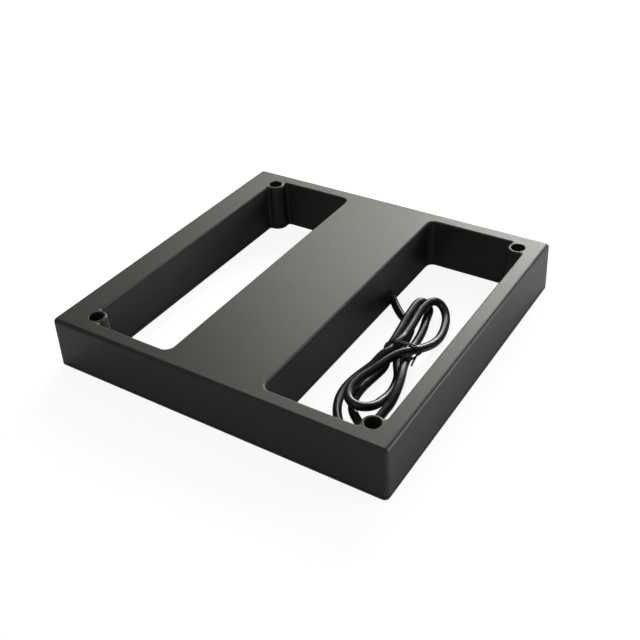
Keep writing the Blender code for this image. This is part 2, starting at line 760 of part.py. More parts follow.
def make_components(looks):
    places = [
        ("microcontroller", chip(15.0, 7.5, 2.3, 7), "chip", (-12, -8, SEAT), 0),
        ("decoder_chip", chip(10.0, 4.0, 1.5, 5), "chip", (10, -8, SEAT), 0),
        ("crystal", block((11.0, 4.4, 3.4), 0, 0.9), "tin", (-12, 8, SEAT), 0),
        ("voltage_regulator", power_transistor(), "chip", (16, 10, SEAT), 0),
        ("power_transistor_1", power_transistor(), "chip", (-15, -66, SEAT), 0),
        ("power_transistor_2", power_transistor(), "chip", (15.5, -66, SEAT), 0),
        ("tuning_capacitor_1", block((18.0, 7.0, 12.0), 0, 0.8), "film", (-10, -42, SEAT), 0),
        ("tuning_capacitor_2", block((18.0, 7.0, 12.0), 0, 0.8), "film", (-10, -31, SEAT), 0),
        ("filter_capacitor_1", can(5.0, 13.0), "sleeve", (12, -44, SEAT), 0),
        ("filter_capacitor_2", can(5.0, 13.0), "sleeve", (12, -29, SEAT), 0),
        ("choke", choke(), "ferrite", (0, -68, SEAT), 0),
        ("sounder", sounder(), "chip", (-15, 21, SEAT), 0),
        ("cable_header", header(), "connector", (4, 24.5, SEAT), 0),
    ]
    for name, mesh, look, place, turn in places:
        add_object(name, smooth(mesh), looks[look], place, turn)


# --------------------------------------------------------------------- cable

def spline(points, steps):
    """A smooth path through points, with a number of steps between neighbours."""
    points = np.asarray(points, float)
    ends = np.vstack([2 * points[0] - points[1], points, 2 * points[-1] - points[-2]])
    path = []
    for i in range(1, len(ends) - 2):
        a, b, c, d = ends[i - 1:i + 3]
        for step in range(steps):
            t = step / steps
            path.append(0.5 * (2 * b + (c - a) * t + (2 * a - 5 * b + 4 * c - d) * t ** 2
                               + (3 * b - a - 3 * c + d) * t ** 3))
    path.append(points[-1])
    return np.array(path)


def even_steps(path, step):
    """The same path with points at even distances."""
    lengths = np.linalg.norm(np.diff(path, axis=0), axis=1)
    travel = np.concatenate([[0.0], np.cumsum(lengths)])
    count = int(round(travel[-1] / step)) + 1
    marks = np.linspace(0, travel[-1], count)
    return np.column_stack([np.interp(marks, travel, path[:, k]) for k in range(3)])


def settle(path):
    """Ease touching strands apart and smooth the bends, above the floor."""
    room = 2 * CABLE_RADIUS + STRAND_GAP
    index = np.arange(len(path))
    apart = np.abs(index[:, None] - index[None, :]) * ROUTE_STEP > 3 * CABLE_RADIUS
    home = path.copy()
    for turn in range(SETTLE_ROUNDS):
        offset = path[:, None, :] - path[None, :, :]
        distance = np.linalg.norm(offset, axis=2) + 1e-9
        push = np.where(apart & (distance < room), (room - distance) / distance, 0.0)
        path = path + 0.35 * (push[:, :, None] * offset).sum(axis=1)
        if turn < 0.7 * SETTLE_ROUNDS:
            eased = 0.5 * (path[:-2] + path[2:])
            path[1:-1] += EASE * (eased - path[1:-1])
            path += HOME_PULL * (home - path)
        over_tie = TIE_LIFT * np.exp(-((path[:, 1] - TIE_Y) / 10.0) ** 2)
        path[:, 2] = np.maximum(path[:, 2], CABLE_RADIUS + GAP + over_tie)
        path[:2] = home[:2]
    return path


def cable_path():
    return settle(even_steps(spline(CABLE_ROUTE, 8), ROUTE_STEP))


def tie_path(cable):
    """Turns of tie wire drawn around the bundle, side by side, clear of the strands."""
    strands = even_steps(cable, 1.0)
    strands = strands[np.abs(strands[:, 1] - TIE_Y) < 12.0]
    reach = CABLE_RADIUS + GAP + TIE_RADIUS
    path = []
    for i in range(TIE_TURNS * TIE_STEPS + 1):
        turns = i / TIE_STEPS
        angle = 2 * math.pi * turns + TIE_START
        facing = np.array([math.cos(angle), math.sin(angle)])
        y = TIE_Y + TIE_PITCH * (turns - TIE_TURNS / 2)
        slab = strands[np.abs(strands[:, 1] - y) < 1.0]
        support = slab[np.argmax(slab[:, [0, 2]] @ facing)]
        x, z = support[[0, 2]] + reach * facing
        path.append((x, y, z))
    path = np.array(path)
    for _ in range(12):
        offset = path[:, None, :] - strands[None, :, :]
        distance = np.linalg.norm(offset, axis=2)
        nearest = distance.argmin(axis=1)
        rows = np.arange(len(path))
        short = np.maximum(reach - distance[rows, nearest], 0) / distance[rows, nearest]
        path += short[:, None] * offset[rows, nearest] * (1, 0, 1)
    path[:, 2] = np.maximum(path[:, 2], TIE_RADIUS + 0.1)
    return path


def cable_root():
    """The fixed end of the cable: straight through the wall, with a round nose."""
    length = PIVOT[0] - CABLE_INSIDE_X
    profile = [(CABLE_RADIUS, -length), (CABLE_RADIUS, 0)]
    for step in range(1, 5):
        angle = math.radians(82 * step / 4)
        profile.append((CABLE_RADIUS * math.cos(angle), CABLE_RADIUS * math.sin(angle)))
    return along_x(turned(profile, 16))


def grommet():
    """A bush with a groove for the wall and a lip on each side, flat underneath."""
    inner = CABLE_RADIUS + GAP
    half_wall = WALL / 2 + GAP
    reach = half_wall + GROMMET_LIP
    profile = [
        (GROMMET_FLANGE, -reach), (GROMMET_FLANGE, -half_wall), (GROMMET_GROOVE, -half_wall),
        (GROMMET_GROOVE, half_wall), (GROMMET_FLANGE, half_wall), (GROMMET_FLANGE, reach),
    ]
    body = along_x(turned(profile, 20))
    bore = along_x(turned([(inner, -reach - 1), (inner, reach + 1)], 20))
    under = block((20, 20, 10), SHELL_BASE - OUTLET_Z - 10)
    return carved_mesh(body, [("DIFFERENCE", bore), ("DIFFERENCE", under)])


def cable_clamp():
    """A saddle that holds the cable down on two posts."""
    half = 9.0
    foot = CLAMP_POST + GAP - OUTLET_Z
    top = CLAMP_TOP - OUTLET_Z
    reach = CABLE_RADIUS + GAP
    outline = [(-half, foot), (-reach, foot), (-reach, 0)]
    outline += arc((0, 0), reach, math.pi, 0, 8)[1:-1]
    outline += [(reach, 0), (reach, foot), (half, foot), (half, top), (-half, top)]
    saddle = loft([[(x, y, z) for y, z in outline] for x in (-2.5, 2.5)])
    holes = []
    for side in (-CLAMP_SCREW_Y, CLAMP_SCREW_Y):
        holes.append(moved(turned([(PILOT, foot - 1), (PILOT, top + 1)], 12), 0, side))
    return carved_mesh(saddle, [("DIFFERENCE", join(holes))])


def plug():
    """The cable's plug, seated in its header."""
    return block((11.2, 4.6, PLUG_HEIGHT), 0, 0.4)


def core_path(number):
    """One insulated core, from the cable's inner end over to the plug's top."""
    angle = math.pi / 4 + number * math.pi / 2
    y = OUTLET_Y + 1.1 * math.cos(angle)
    lift = 1.1 * math.sin(angle)
    z = OUTLET_Z + lift
    place = CORE_ORDER[number]
    plug_x = PLUG_PLACE[0] + 2.4 * place
    return [
        (CABLE_INSIDE_X - GAP, y, z), (CABLE_INSIDE_X - 4, y, z), (10.5 + 1.7 * place, y - 2, 10.5 + lift),
        (plug_x, 37, 17), (plug_x, 30, 21.6), (plug_x, 25.2, 21.2), (plug_x, 24.5, PLUG_TOP + GAP),
    ]


def make_cable(looks):
    wall_x = RIGHT_WINDOW[1] + draft_at(OUTLET_Z) - WALL / 2
    centre = (wall_x, OUTLET_Y, OUTLET_Z)
    add_object("cable_root", smooth(cable_root()), looks["cable"], PIVOT)
    add_object("cable_grommet", smooth(grommet()), looks["seal"], centre)
    add_object("cable_clamp", cable_clamp(), looks["clip"], (CLAMP_X, OUTLET_Y, OUTLET_Z))
    add_object("cable_plug", plug(), looks["connector"], PLUG_PLACE)
    for number, colour in enumerate(("red", "black", "green", "white")):
        mesh = smooth(sweep(spline(core_path(number), 2), 0.6, 5))
        add_object(f"cable_core_{colour}", mesh, looks[colour])
    hinge = bpy.data.objects.new("cable_hinge", None)
    hinge.location = [c * MM for c in PIVOT]
    bpy.context.scene.collection.objects.link(hinge)
    path = cable_path()
    coil_mesh = smooth(sweep(path - np.array(PIVOT), CABLE_RADIUS, 8))
    coil_item = add_object("cable_coil", coil_mesh, looks["cable"])
    coil_item.parent = hinge
    tie = smooth(sweep(tie_path(path) - np.array(PIVOT), TIE_RADIUS, 5))
    tie_item = add_object("wire_tie", tie, looks["tie"])
    tie_item.parent = hinge


def main():
    clear_scene()
    looks = make_materials()
    make_upper_housing(looks)
    make_base_cover(looks)
    make_seals(looks)
    make_label(looks)
    make_screws(looks)
    make_coils(looks)
    make_coil_leads(looks)
    make_board(looks)
    make_components(looks)
    make_cable(looks)


main()
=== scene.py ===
"""Looks for the flat proximity reader: fine housing, cover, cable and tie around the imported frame."""

import json
import math

import bmesh
import bpy
import numpy as np
from mathutils import Matrix, Vector


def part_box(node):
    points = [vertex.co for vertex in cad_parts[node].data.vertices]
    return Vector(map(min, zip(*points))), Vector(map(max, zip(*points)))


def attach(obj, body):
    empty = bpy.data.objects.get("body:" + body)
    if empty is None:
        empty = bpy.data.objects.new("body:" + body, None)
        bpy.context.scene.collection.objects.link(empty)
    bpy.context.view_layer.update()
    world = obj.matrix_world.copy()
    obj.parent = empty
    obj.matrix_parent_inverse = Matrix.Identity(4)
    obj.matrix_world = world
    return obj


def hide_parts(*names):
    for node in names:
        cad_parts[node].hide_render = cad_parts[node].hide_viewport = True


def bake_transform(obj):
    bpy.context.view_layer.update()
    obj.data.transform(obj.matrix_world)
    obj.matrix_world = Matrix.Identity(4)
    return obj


MM = 0.001

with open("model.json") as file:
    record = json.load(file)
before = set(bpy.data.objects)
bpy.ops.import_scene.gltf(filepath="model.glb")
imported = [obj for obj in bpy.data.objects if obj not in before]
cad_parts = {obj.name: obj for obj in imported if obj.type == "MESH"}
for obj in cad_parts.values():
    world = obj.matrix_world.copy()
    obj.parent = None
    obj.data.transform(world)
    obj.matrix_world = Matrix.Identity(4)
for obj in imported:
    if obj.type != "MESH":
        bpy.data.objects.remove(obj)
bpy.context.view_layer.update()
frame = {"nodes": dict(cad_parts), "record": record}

# -------------------------------------- driving sizes, mm where nothing else is said

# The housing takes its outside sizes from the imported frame.
HOUSING_LOW, HOUSING_HIGH = [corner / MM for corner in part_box("upper_housing")]
COVER_LOW, COVER_HIGH = [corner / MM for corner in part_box("base_cover")]
HEIGHT = HOUSING_HIGH.z
SHELL_BASE = HOUSING_LOW.z
BASE_X = COVER_HIGH.x - COVER_LOW.x
BASE_Y = COVER_HIGH.y - COVER_LOW.y
DRAFT = 0.8
CORNER_RADIUS = 3.0
TOP_RADIUS = 2.5
TOP_STEPS = 10
RIM_RADIUS = 1.2
RIM_STEPS = 8
FOOT_EASE = 0.15
WALL = 2.2
ROOF = 2.5
PAST = 1.0  # how far a cutter reaches past the face it cuts

# Windows, as (edge beside the rail, edge beside the bridge), and the fixing columns.
WINDOW_HALF_Y = 100.0
LEFT_WINDOW = (-95.0, -32.0)
RIGHT_WINDOW = (103.0, 32.5)
BRIDGE_CORNER = 5.5
CORNER_STEPS = 12
MOUNT_X = (-92.0, 98.0)
MOUNT_Y = 95.0
BOSS_RADIUS = 6.5
BOSS_FILLET = 1.8
BOSS_STEPS = 26
FILLET_STEPS = 6
MOUNT_BORE = 2.5
MOUNT_COUNTERBORE = 4.5
COUNTERBORE_FLOOR = 16.0
MOUTH_EASE = 0.45
MOUTH_STEPS = 4

# Cover screws, in pillars inside the housing.
PILOT_RADIUS = 1.45
PILOT_TOP = 16.0
COVER_SCREWS = [(-24.0, -92.0), (24.0, -92.0), (-24.0, 92.0), (24.0, 92.0), (-99.2, -50.0), (-99.2, 50.0)]
PILLAR_RADIUS = 3.1
PILLAR_TAPER = 0.3

# The cable, its outlet in the bridge's wall, and the points it runs through before the loose cable starts.
CABLE_RADIUS = 2.7
CABLE_GAP = 0.3
CABLE_SIDES = 24
CABLE_STEP = 0.9
OUTLET_Y = 42.4
OUTLET_Z = 5.4
NOTCH_RADIUS = 4.2
NOTCH_X = (29.0, 36.0)
CABLE_INSIDE_X = (20.0, 24.0, 28.0, 32.0, 34.3)

# The tie: turns of wire drawn around the strands, then a twisted tail of two wires.
TIE_Y = -5.5
TIE_WIRE = 0.45
TIE_CLEAR = 0.12
TIE_PITCH = 1.6
TIE_TURNS = 2
TIE_STEPS = 72
TIE_START = 0.75
TIE_SIDES = 12
TIE_SPACING = 0.7
TIE_ROUNDS = 24
TIE_SMOOTH = 0.25
TIE_FLOOR_GAP = 0.1
TIE_SLICE = 1.0
TIE_REACH = 12.0
STRAND_STEP = 0.5
TAIL_WIRE = 0.36
TAIL_TWIST = 3.2
TAIL_SIDES = 10
TAIL_STEP = 0.4
TIE_TAIL = [
    (77.6, -5.6, 13.6), (78.3, -6.4, 13.0), (78.8, -7.8, 10.6), (78.0, -9.0, 7.4), (76.9, -9.7, 4.2),
    (76.2, -9.9, 1.6),
]

# How the loose cable settles: each round pushes close strands apart, eases the bends
# and pulls the cable back to its route. The last rounds only push.
ROUTE_STEP = 3.4
STRAND_GAP = 0.6
SETTLE_ROUNDS = 160
EASED_SHARE = 0.7
PUSH = 0.35
EASE = 0.12
HOME_PULL = 0.2
TIE_LIFT = 1.6
TIE_LIFT_SPREAD = 10.0
SPLINE_STEPS = 8

# Where the loose cable runs, from the outlet to its free end. The strands lie side by
# side in two layers, and all of them pass through the tie.
CABLE_ROUTE = [
    # in from the outlet, under the bundle and down its middle
    (37.3, 40.3, 4.6), (42.5, 35.4, 3.4), (49.0, 30.0, 3.1), (55.0, 26.5, 3.1), (59.6, 21.0, 3.1),
    (61.8, 12.5, 3.1), (63.4, 3.0, 3.6), (65.0, -5.0, 4.2), (67.8, -12.0, 3.6), (71.5, -18.0, 3.1),
    (75.0, -25.0, 3.1), (77.5, -34.5, 3.1),
    # inner lower loop, raised on its way back
    (78.5, -43.5, 3.8), (77.5, -53.5, 5.6), (74.5, -61.0, 7.8), (69.0, -64.0, 9.2), (63.0, -61.5, 9.8),
    (59.5, -53.5, 10.1), (60.0, -44.0, 10.4), (62.5, -36.5, 10.8), (65.0, -29.5, 11.6), (67.5, -21.5, 12.4),
    (71.0, -14.0, 12.6),
    # on top of the tie, then the wide upper loop
    (75.5, -6.0, 10.8), (78.0, 3.0, 7.4), (79.5, 12.5, 4.6), (79.5, 22.5, 3.3), (77.0, 34.0, 3.1),
    (73.0, 43.5, 3.6), (68.2, 48.6, 6.2), (63.8, 48.0, 9.2), (61.2, 42.0, 10.4), (60.4, 34.0, 10.2),
    (61.0, 22.5, 9.4), (62.5, 11.0, 9.2), (63.8, 0.0, 9.4), (62.8, -8.0, 9.2), (60.5, -17.0, 7.4),
    (57.0, -27.0, 5.2), (54.0, -35.0, 3.6), (52.6, -46.0, 3.1),
    # outer lower loop, close to the floor
    (54.5, -58.0, 3.1), (60.0, -69.0, 3.1), (67.5, -77.0, 3.1), (76.5, -77.0, 3.1), (81.5, -68.0, 3.1),
    (83.0, -56.5, 4.2), (82.6, -45.5, 6.0), (81.2, -35.5, 7.6), (78.6, -27.0, 8.2), (75.2, -18.0, 7.6),
    (72.4, -9.5, 5.2), (70.2, -1.0, 4.2), (69.2, 8.0, 3.3), (68.0, 17.5, 3.1), (66.0, 26.5, 3.1),
    (63.8, 33.5, 3.1), (62.2, 40.5, 3.1),
    # narrow upper loop, then the free end
    (60.9, 44.8, 4.0), (58.1, 46.4, 6.2), (55.2, 44.8, 8.4), (54.1, 40.5, 9.2), (54.5, 34.0, 9.2),
    (55.6, 26.0, 9.0), (57.2, 17.0, 8.4), (58.2, 6.0, 7.6), (58.6, -4.0, 6.2), (60.5, -12.5, 4.0),
    (63.0, -21.0, 3.1), (62.5, -31.0, 3.1), (61.5, -40.0, 3.1), (61.5, -48.5, 3.1), (63.0, -56.5, 3.1),
    (67.0, -63.5, 3.1), (73.5, -69.0, 3.1),
]

# Edges sharper than this many degrees stay sharp.
FLAT_ANGLE = 35
TUBE_ANGLE = 60

# The floor and the surround: WORLD_SEEN is the far floor's brightness, so no horizon shows.
WORLD_LIGHT = 0.25
WORLD_SEEN = 0.945
FLOOR_REACH = 20000.0
FLOOR_DROP = 0.2
FLOOR_GLOW = 0.88

# Lights and camera, in metres and degrees.
SOFTBOX_SIZE = (0.7, 0.45)
SOFTBOX_DISTANCE = 1.6
FILL_SIZE = (0.9, 0.9)
FILL_DISTANCE = 1.8
LIGHT_AIM = (0, 0, 0.02)
CAMERA_AZIMUTH = 34.048
CAMERA_ELEVATION = 36.088
CAMERA_ROLL = -3.153
CAMERA_DISTANCE = 0.5268
CAMERA_TARGET = (0.02794, -0.0336, 0.034)
CAMERA_LENS = 50.69
CAMERA_CLIP = 0.01


# ---------------------------------------------------------------- mesh tools

def mesh_from(faces, points):
    mesh = bpy.data.meshes.new("mesh")
    mesh.from_pydata([tuple(c * MM for c in p) for p in points], [], faces)
    mesh.update()
    return mesh


def add_object(name, mesh, look=None):
    item = bpy.data.objects.new(name, mesh)
    bpy.context.scene.collection.objects.link(item)
    if look:
        mesh.materials.clear()
        mesh.materials.append(look)
    return item


def smooth(mesh, angle=FLAT_ANGLE):
    mesh.shade_smooth()
    mesh.set_sharp_from_angle(angle=math.radians(angle))
    return mesh


def loft(rings):
    """A closed solid through rings with equal point counts, capped at both ends."""
    count = len(rings[0])
    points = [p for ring in rings for p in ring]
    faces = [tuple(reversed(range(count)))]
    for level in range(len(rings) - 1):
        low = level * count
        for i in range(count):
            j = (i + 1) % count
            faces.append((low + i, low + j, low + count + j, low + count + i))
    top = (len(rings) - 1) * count
    faces.append(tuple(top + i for i in range(count)))
    return mesh_from(faces, points)


def turned(profile, segments=48):
    """A solid of revolution about Z from (radius, height) points, bottom to top."""
    rings = []
    for radius, height in profile:
        steps = (2 * math.pi * i / segments for i in range(segments))
        rings.append([(radius * math.cos(a), radius * math.sin(a), height) for a in steps])
    return loft(rings)


def arc(centre, radius, start, end, steps):
    angles = (start + (end - start) * i / steps for i in range(steps + 1))
    return [(centre[0] + radius * math.cos(a), centre[1] + radius * math.sin(a)) for a in angles]


def rounded_rectangle(half_x, half_y, radius, steps=10):
    points = []
    corners = [(1, -1, -90), (1, 1, 0), (-1, 1, 90), (-1, -1, 180)]
    for sx, sy, start in corners:
        centre = (sx * (half_x - radius), sy * (half_y - radius))
        points += arc(centre, radius, math.radians(start), math.radians(start + 90), steps)
    return points


def at_height(outline, z):
    return [(x, y, z) for x, y in outline]


def join(meshes):
    made = bmesh.new()
    for mesh in meshes:
        made.from_mesh(mesh)
        bpy.data.meshes.remove(mesh)
    mesh = bpy.data.meshes.new("mesh")
    made.to_mesh(mesh)
    made.free()
    return mesh


def moved(mesh, x, y):
    mesh.transform(Matrix.Translation((x * MM, y * MM, 0)))
    return mesh


def carved_mesh(mesh, cutter_meshes):
    """The mesh after each cutter in turn is taken out of it."""
    item = add_object("blank", mesh)
    cutters = [add_object("cutter", cutter_mesh) for cutter_mesh in cutter_meshes]
    for cutter in cutters:
        modifier = item.modifiers.new("cut", "BOOLEAN")
        modifier.operation = "DIFFERENCE"
        modifier.object = cutter
        modifier.solver = "EXACT"
    graph = bpy.context.evaluated_depsgraph_get()
    result = bpy.data.meshes.new_from_object(item.evaluated_get(graph))
    for used in [item] + cutters:
        bpy.data.objects.remove(used, do_unlink=True)
    return result


def weigh_normals(item):
    """Flat faces keep flat shading right up to the rounds beside them."""
    modifier = item.modifiers.new("weighted normals", "WEIGHTED_NORMAL")
    modifier.keep_sharp = True
    modifier.weight = 100


def sweep(path, radius, sides):
    """A round tube along a path, with no twist."""
    path = np.asarray(path, float)
    tangents = np.gradient(path, axis=0)
    tangents /= np.linalg.norm(tangents, axis=1)[:, None]
    side = np.cross(tangents[0], (0.0, 0.0, 1.0))
    if np.linalg.norm(side) < 0.1:
        side = np.cross(tangents[0], (0.0, 1.0, 0.0))
    rings = []
    for point, tangent in zip(path, tangents):
        side = side - np.dot(side, tangent) * tangent
        side /= np.linalg.norm(side)
        up = np.cross(side, tangent)
        angles = (2 * math.pi * k / sides for k in range(sides))
        rings.append([tuple(point + radius * (math.cos(a) * side - math.sin(a) * up)) for a in angles])
    return loft(rings)


# ------------------------------------------------------------------ materials

class Nodes:
    """A short way to build a Principled material from nodes."""

    def __init__(self, name):
        self.material = bpy.data.materials.new(name)
        self.material.use_nodes = True
        self.tree = self.material.node_tree
        self.shader = self.tree.nodes["Principled BSDF"]
        self.place = self.add("ShaderNodeTexCoord").outputs["Object"]

    def add(self, kind, **values):
        node = self.tree.nodes.new(kind)
        for key, value in values.items():
            if key in node.inputs:
                node.inputs[key].default_value = value
            else:
                setattr(node, key, value)
        return node

    def link(self, source, target):
        self.tree.links.new(source, target)

    def noise(self, scale, detail=3.0, roughness=0.55, stretch=None):
        """Noise in the object's own metres, as a 0 to 1 value; stretch scales X, Y, Z."""
        node = self.add("ShaderNodeTexNoise", Scale=scale, Detail=detail, Roughness=roughness)
        place = self.place
        if stretch:
            mapping = self.add("ShaderNodeMapping")
            mapping.inputs["Scale"].default_value = stretch
            self.link(place, mapping.inputs["Vector"])
            place = mapping.outputs["Vector"]
        self.link(place, node.inputs["Vector"])
        return node.outputs["Fac"]

    def spread(self, value, low, high, start=0.3, end=0.7):
        """A 0 to 1 value mapped from start..end onto low..high."""
        node = self.add("ShaderNodeMapRange")
        node.inputs["From Min"].default_value = start
        node.inputs["From Max"].default_value = end
        node.inputs["To Min"].default_value = low
        node.inputs["To Max"].default_value = high
        self.link(value, node.inputs["Value"])
        return node.outputs["Result"]

    def colours(self, value, first, second, start=0.3, end=0.7):
        node = self.add("ShaderNodeValToRGB")
        ramp = node.color_ramp
        ramp.elements[0].position = start
        ramp.elements[0].color = (*first, 1.0)
        ramp.elements[1].position = end
        ramp.elements[1].color = (*second, 1.0)
        self.link(value, node.inputs["Fac"])
        return node.outputs["Color"]

    def bump(self, value, distance, strength=1.0, before=None):
        node = self.add("ShaderNodeBump", Strength=strength, Distance=distance)
        self.link(value, node.inputs["Height"])
        if before:
            self.link(before, node.inputs["Normal"])
        return node.outputs["Normal"]

    def finish(self, colour=None, roughness=None, normal=None, **values):
        for socket, source in (("Base Color", colour), ("Roughness", roughness), ("Normal", normal)):
            if source is not None:
                self.link(source, self.shader.inputs[socket])
        for key, value in values.items():
            self.shader.inputs[key.replace("_", " ")].default_value = value
        return self.material


def moulded_plastic(name, dark, light, roughness, grain=0.000008):
    """Fine-grained moulded plastic with faint cloudy variation."""
    made = Nodes(name)
    cloud = made.noise(22.0)
    speckle = made.noise(2600.0, detail=2.0, roughness=0.6)
    fine = made.noise(900.0)
    colour = made.colours(cloud, dark, light)
    sheen = made.spread(fine, roughness - 0.04, roughness + 0.05)
    normal = made.bump(speckle, grain, strength=0.6)
    normal = made.bump(cloud, 0.0004, strength=0.08, before=normal)
    return made.finish(colour, sheen, normal, Specular_IOR_Level=0.38)


def cable_jacket():
    """Soft black PVC: a faint ripple of the cores inside, fine scuffs and a broad sheen."""
    made = Nodes("cable_jacket_pvc")
    ripple = made.noise(110.0, detail=2.0)
    scuff = made.noise(1400.0, detail=4.0, roughness=0.7)
    colour = made.colours(ripple, (0.006, 0.006, 0.0065), (0.01, 0.01, 0.0105))
    sheen = made.spread(scuff, 0.27, 0.37)
    normal = made.bump(ripple, 0.0002, strength=0.12)
    normal = made.bump(scuff, 0.000004, strength=0.1, before=normal)
    return made.finish(colour, sheen, normal, Specular_IOR_Level=0.45)


def soft_rubber():
    """Matt black rubber with fine dust in its pores."""
    made = Nodes("soft_rubber")
    dust = made.noise(600.0, detail=4.0, roughness=0.7)
    colour = made.colours(dust, (0.012, 0.012, 0.012), (0.03, 0.03, 0.029))
    return made.finish(colour, made.spread(dust, 0.6, 0.85), made.bump(dust, 0.00005, strength=0.5))


def plated_steel():
    """Bright plating, slightly cloudy, with turned lines."""
    made = Nodes("zinc_plated_steel")
    cloud = made.noise(700.0, detail=4.0, roughness=0.6)
    lines = made.noise(400.0, detail=2.0, roughness=0.5, stretch=(1.0, 1.0, 12.0))
    colour = made.colours(cloud, (0.42, 0.43, 0.44), (0.62, 0.62, 0.6))
    normal = made.bump(lines, 0.00002, strength=0.4)
    return made.finish(colour, made.spread(cloud, 0.22, 0.4), normal, Metallic=1.0)


def enamelled_wire():
    """A wound bundle: close copper turns under clear brown enamel."""
    made = Nodes("enamelled_wire")
    turns = made.noise(60.0, detail=1.0, roughness=0.4, stretch=(1.0, 1.0, 60.0))
    colour = made.colours(turns, (0.22, 0.06, 0.02), (0.55, 0.2, 0.08))
    normal = made.bump(turns, 0.0002, strength=0.6)
    return made.finish(colour, made.spread(turns, 0.25, 0.4), normal, Coat_Weight=0.6, Metallic=0.7)


def board_laminate():
    """Green solder mask over etched tracks on a woven laminate."""
    made = Nodes("board_laminate")
    weave = made.add("ShaderNodeTexChecker", Scale=1600.0)
    made.link(made.place, weave.inputs["Vector"])
    tracks = made.add("ShaderNodeTexBrick", Scale=160.0)
    tracks.inputs["Mortar Size"].default_value = 0.06
    tracks.inputs["Color1"].default_value = (0.012, 0.12, 0.04, 1)
    tracks.inputs["Color2"].default_value = (0.016, 0.15, 0.05, 1)
    tracks.inputs["Mortar"].default_value = (0.03, 0.24, 0.08, 1)
    made.link(made.place, tracks.inputs["Vector"])
    normal = made.bump(weave.outputs["Fac"], 0.00001, strength=0.3)
    normal = made.bump(tracks.outputs["Fac"], 0.00004, strength=0.5, before=normal)
    return made.finish(tracks.outputs["Color"], made.spread(made.noise(300.0), 0.25, 0.4), normal)


def glossy_case(name, dark, light, roughness=0.3):
    """Dipped or moulded gloss cases, sleeves and wire insulation."""
    made = Nodes(name)
    cloud = made.noise(260.0)
    colour = made.colours(cloud, dark, light)
    sheen = made.spread(cloud, roughness - 0.06, roughness + 0.08)
    return made.finish(colour, sheen, made.bump(cloud, 0.0001, strength=0.2))


def label_film():
    """A blank silver-grey film with a fine brushed grain."""
    made = Nodes("label_film")
    brush = made.noise(900.0, detail=4.0, roughness=0.6, stretch=(0.05, 1.0, 1.0))
    colour = made.colours(brush, (0.42, 0.42, 0.42), (0.55, 0.55, 0.54))
    normal = made.bump(brush, 0.00001, strength=0.3)
    return made.finish(colour, made.spread(brush, 0.35, 0.5), normal, Metallic=0.3)


def make_looks():
    """Every finish, by the record's material slot; plastics take dark, light and roughness."""
    return {
        "housing_plastic": moulded_plastic(
            "housing_plastic", (0.0165, 0.0163, 0.0148), (0.0205, 0.0203, 0.0182), 0.44),
        "cover_plastic": moulded_plastic("cover_plastic", (0.024, 0.024, 0.023), (0.03, 0.03, 0.028), 0.47),
        "seal_rubber": soft_rubber(),
        "label_film": label_film(),
        "screw_steel": plated_steel(),
        "winding_wire": enamelled_wire(),
        "clip_plastic": moulded_plastic("clip_plastic", (0.62, 0.6, 0.52), (0.72, 0.7, 0.62), 0.5),
        "board_laminate": board_laminate(),
        "chip_resin": moulded_plastic("chip_resin", (0.014, 0.014, 0.015), (0.024, 0.024, 0.026), 0.5),
        "tinned_metal": plated_steel(),
        "film_capacitor_case": glossy_case("film_case", (0.36, 0.02, 0.012), (0.5, 0.05, 0.03)),
        "capacitor_sleeve": glossy_case("capacitor_sleeve", (0.02, 0.025, 0.08), (0.035, 0.045, 0.13)),
        "ferrite_core": moulded_plastic(
            "ferrite_core", (0.035, 0.035, 0.04), (0.06, 0.06, 0.066), 0.6, grain=0.0001),
        "connector_plastic": moulded_plastic("connector_plastic", (0.7, 0.68, 0.6), (0.78, 0.77, 0.7), 0.45),
        "red_wire": glossy_case("red_wire", (0.45, 0.012, 0.012), (0.58, 0.03, 0.025)),
        "black_wire": glossy_case("black_wire", (0.01, 0.01, 0.01), (0.022, 0.022, 0.022)),
        "green_wire": glossy_case("green_wire", (0.012, 0.22, 0.04), (0.03, 0.33, 0.07)),
        "white_wire": glossy_case("white_wire", (0.68, 0.68, 0.65), (0.8, 0.8, 0.78)),
        "cable_jacket": cable_jacket(),
        "tie_coat": glossy_case("tie_coat", (0.01, 0.01, 0.01), (0.018, 0.018, 0.018), 0.2),
    }


# ------------------------------------------------------------------- outlines

def draft_at(z):
    """How far a wall has moved out from its place at the top face."""
    return DRAFT * (HEIGHT - z) / HEIGHT


def outer_outline(inset, z):
    """The housing's drafted outline at a height, moved in by an inset."""
    half_x = BASE_X / 2 - DRAFT + draft_at(z) - inset
    half_y = BASE_Y / 2 - DRAFT + draft_at(z) - inset
    return rounded_rectangle(half_x, half_y, max(CORNER_RADIUS - inset, 0.5))


def boss_corner(boss_u, inset):
    """One outer corner of a window, bitten by its mounting column, from side to front."""
    boss = (boss_u, WINDOW_HALF_Y - MOUNT_Y)
    radius = BOSS_RADIUS + inset
    reach = radius + BOSS_FILLET
    near = inset + BOSS_FILLET
    first = (near, boss[1] + math.sqrt(reach ** 2 - (near - boss[0]) ** 2))
    last = (boss[0] + math.sqrt(reach ** 2 - (near - boss[1]) ** 2), near)
    first_angle = math.atan2(first[1] - boss[1], first[0] - boss[0])
    last_angle = math.atan2(last[1] - boss[1], last[0] - boss[0])
    side_fillet = arc(first, BOSS_FILLET, math.pi, first_angle + math.pi, FILLET_STEPS)
    around = arc(boss, radius, first_angle, last_angle, BOSS_STEPS)
    front_fillet = arc(last, BOSS_FILLET, last_angle + math.pi, 1.5 * math.pi, FILLET_STEPS)
    return side_fillet[:-1] + around + front_fillet[1:]


